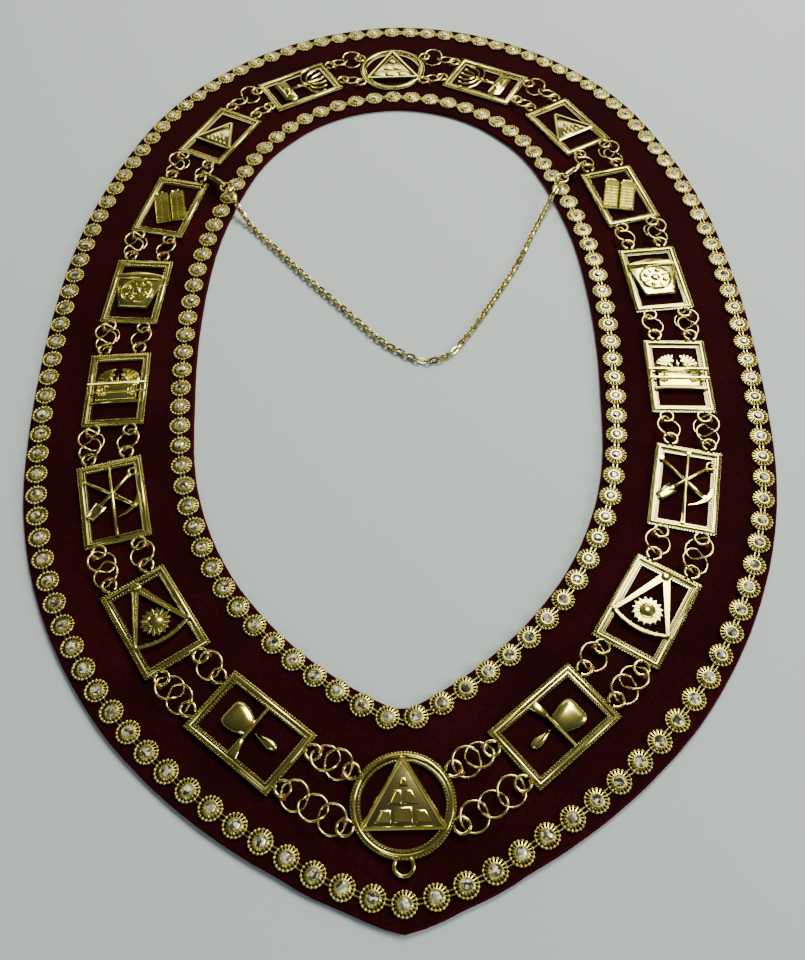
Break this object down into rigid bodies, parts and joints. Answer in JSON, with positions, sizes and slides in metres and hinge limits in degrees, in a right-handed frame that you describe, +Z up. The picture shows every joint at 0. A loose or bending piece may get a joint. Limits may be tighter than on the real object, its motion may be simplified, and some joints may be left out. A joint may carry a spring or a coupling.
{
  "type": "chain of office",
  "caption": "Flat velvet regalia collar edged with rhinestone trims, with gilt relief plaques linked by jump rings, a round pendant at the point, and a neck chain with lobster clasps.",
  "frame": {"origin": "middle of the collar's outline, on the surface it lies on", "axes": "+X towards the collar's right side as shown, +Y towards the nape of the neck, +Z up out of the surface"},
  "size_m": [0.3266, 0.4988, 0.0097],
  "materials": {
    "velvet": "matt pile",
    "rhinestone_trim": "polished, with clear stones",
    "gilt": "polished gilt"
  },
  "bodies": {
    "collar": {"velvet_collar": "velvet", "outer_trim": "rhinestone_trim", "inner_trim": "rhinestone_trim", "front_pendant": "gilt", "nape_plaque": "gilt", "right_trowel_plaque": "gilt", "left_trowel_plaque": "gilt", "right_compasses_plaque": "gilt", "left_compasses_plaque": "gilt", "right_tools_plaque": "gilt", "left_tools_plaque": "gilt", "right_chest_plaque": "gilt", "left_chest_plaque": "gilt", "right_keystone_plaque": "gilt", "left_keystone_plaque": "gilt", "right_tablets_plaque": "gilt", "left_tablets_plaque": "gilt", "right_triangle_plaque": "gilt", "left_triangle_plaque": "gilt", "right_candlestick_plaque": "gilt", "left_candlestick_plaque": "gilt", "right_inner_rings_1": "gilt", "right_outer_rings_1": "gilt", "right_inner_rings_2": "gilt", "right_outer_rings_2": "gilt", "right_inner_rings_3": "gilt", "right_outer_rings_3": "gilt", "right_inner_rings_4": "gilt", "right_outer_rings_4": "gilt", "right_inner_rings_5": "gilt", "right_outer_rings_5": "gilt", "right_inner_rings_6": "gilt", "right_outer_rings_6": "gilt", "right_inner_rings_7": "gilt", "right_outer_rings_7": "gilt", "right_inner_rings_8": "gilt", "right_outer_rings_8": "gilt", "right_inner_rings_9": "gilt", "right_outer_rings_9": "gilt", "left_inner_rings_1": "gilt", "left_outer_rings_1": "gilt", "left_inner_rings_2": "gilt", "left_outer_rings_2": "gilt", "left_inner_rings_3": "gilt", "left_outer_rings_3": "gilt", "left_inner_rings_4": "gilt", "left_outer_rings_4": "gilt", "left_inner_rings_5": "gilt", "left_outer_rings_5": "gilt", "left_inner_rings_6": "gilt", "left_outer_rings_6": "gilt", "left_inner_rings_7": "gilt", "left_outer_rings_7": "gilt", "left_inner_rings_8": "gilt", "left_outer_rings_8": "gilt", "left_inner_rings_9": "gilt", "left_outer_rings_9": "gilt", "neck_chain": "gilt"},
    "right_lever": {"right_clasp_lever": "gilt"},
    "left_lever": {"left_clasp_lever": "gilt"}
  },
  "joints": [
    {"name": "right_clasp_lever_hinge", "type": "hinge", "parent": "collar", "child": "right_lever", "pos_m": [0.09359, 0.11044, 0.00807], "axis": [-0.5049, 0.5814, 0.638], "range_deg": [0, 20], "stiffness_Nm_per_rad": 0.001, "springref_deg": -5.73},
    {"name": "left_clasp_lever_hinge", "type": "hinge", "parent": "collar", "child": "left_lever", "pos_m": [-0.09359, 0.11044, 0.00807], "axis": [-0.5049, -0.5814, -0.638], "range_deg": [0, 20], "stiffness_Nm_per_rad": 0.001, "springref_deg": -5.73}
  ]
}
